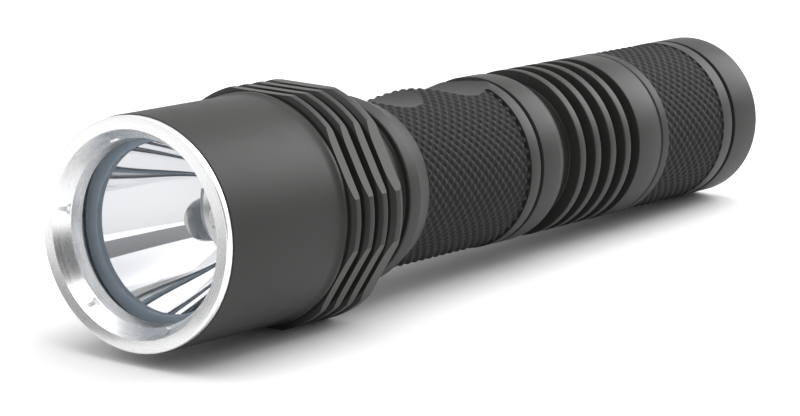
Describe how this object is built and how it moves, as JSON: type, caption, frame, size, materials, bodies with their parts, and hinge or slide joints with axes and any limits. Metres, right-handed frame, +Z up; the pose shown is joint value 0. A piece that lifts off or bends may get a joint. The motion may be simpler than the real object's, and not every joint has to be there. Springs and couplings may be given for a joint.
{
  "type": "tactical flashlight",
  "caption": "Hand-held tactical flashlight with bare bezel, mirror reflector, finned head, knurled tube holding one lithium cell, and a push button in the tail.",
  "frame": {"origin": "on the beam axis, half way between the bezel face and the tail face", "axes": "+X is the way the beam leaves, +Z is up when the light lies on one of its milled flats"},
  "size_m": [0.1454, 0.0348, 0.0332],
  "materials": {
    "bezel_ring": "satin",
    "bezel_o_ring": "matte",
    "lens": "gloss",
    "lens_gasket": "matte",
    "reflector": "polished",
    "led_centring_ring": "matte",
    "led_package": "matte",
    "led_dome": "gloss",
    "led_board": "satin",
    "board_screws": "satin",
    "positive_lead": "matte",
    "negative_lead": "matte",
    "pill": "satin",
    "driver_board": "gloss",
    "driver_chips": "matte",
    "driver_inductor": "matte",
    "driver_spring": "polished",
    "head_body": "matte",
    "battery_tube": "matte",
    "front_o_ring": "matte",
    "rear_o_ring": "matte",
    "cell_can": "satin",
    "cell_wrap": "gloss",
    "cell_positive_cap": "satin",
    "cell_insulator": "matte",
    "tail_cap": "matte",
    "tail_spring": "polished",
    "switch_retaining_ring": "satin",
    "switch_board": "gloss",
    "switch_body": "matte",
    "switch_spacer": "matte",
    "switch_plunger": "matte",
    "tail_button": "matte",
    "button_o_ring": "matte"
  },
  "bodies": {
    "tube": {"battery_tube": "battery_tube", "front_o_ring": "front_o_ring", "rear_o_ring": "rear_o_ring"},
    "cell": {"cell_can": "cell_can", "cell_wrap": "cell_wrap", "cell_positive_cap": "cell_positive_cap", "cell_insulator": "cell_insulator"},
    "head_travel": {"reflector": "reflector"},
    "head": {"head_body": "head_body", "lens": "lens", "lens_gasket": "lens_gasket", "led_centring_ring": "led_centring_ring", "led_package": "led_package", "led_dome": "led_dome", "led_board": "led_board", "board_screws": "board_screws", "positive_lead": "positive_lead", "negative_lead": "negative_lead", "pill": "pill", "driver_board": "driver_board", "driver_chips": "driver_chips", "driver_inductor": "driver_inductor", "driver_spring": "driver_spring"},
    "bezel_travel": {"bezel_o_ring": "bezel_o_ring"},
    "bezel": {"bezel_ring": "bezel_ring"},
    "tail_travel": {"switch_spacer": "switch_spacer"},
    "tail": {"tail_cap": "tail_cap", "tail_spring": "tail_spring", "switch_retaining_ring": "switch_retaining_ring", "switch_board": "switch_board", "switch_body": "switch_body"},
    "button": {"tail_button": "tail_button", "button_o_ring": "button_o_ring", "switch_plunger": "switch_plunger"}
  },
  "joints": [
    {"name": "cell_shift", "type": "slide", "parent": "tube", "child": "cell", "axis": [-1, 0, 0], "range_m": [0, 0.0032]},
    {"name": "head_advance", "type": "slide", "parent": "tube", "child": "head_travel", "axis": [1, 0, 0], "range_m": [0, 0.005]},
    {"name": "head_turn", "type": "hinge", "parent": "head_travel", "child": "head", "pos_m": [0.04765, 0, 0], "axis": [1, 0, 0], "range_deg": [0, 1442]},
    {"name": "bezel_advance", "type": "slide", "parent": "head", "child": "bezel_travel", "axis": [1, 0, 0], "range_m": [0, 0.003]},
    {"name": "bezel_turn", "type": "hinge", "parent": "bezel_travel", "child": "bezel", "pos_m": [0.06965, 0, 0], "axis": [1, 0, 0], "range_deg": [0, 1442]},
    {"name": "tail_cap_advance", "type": "slide", "parent": "tube", "child": "tail_travel", "axis": [-1, 0, 0], "range_m": [0, 0.00625]},
    {"name": "tail_cap_turn", "type": "hinge", "parent": "tail_travel", "child": "tail", "pos_m": [-0.05735, 0, 0], "axis": [-1, 0, 0], "range_deg": [0, 1802]},
    {"name": "button_press", "type": "slide", "parent": "tail", "child": "button", "axis": [1, 0, 0], "range_m": [0, 0.0016], "stiffness_N_per_m": 600}
  ],
  "couplings": [
    {"joint": "head_turn", "follows": "head_advance", "rad_per_m": 5026.5},
    {"joint": "bezel_turn", "follows": "bezel_advance", "rad_per_m": 8377.6},
    {"joint": "tail_cap_turn", "follows": "tail_cap_advance", "rad_per_m": 5026.5},
    {"joint": "cell_shift", "follows": "tail_cap_advance", "ratio": 0.5}
  ]
}
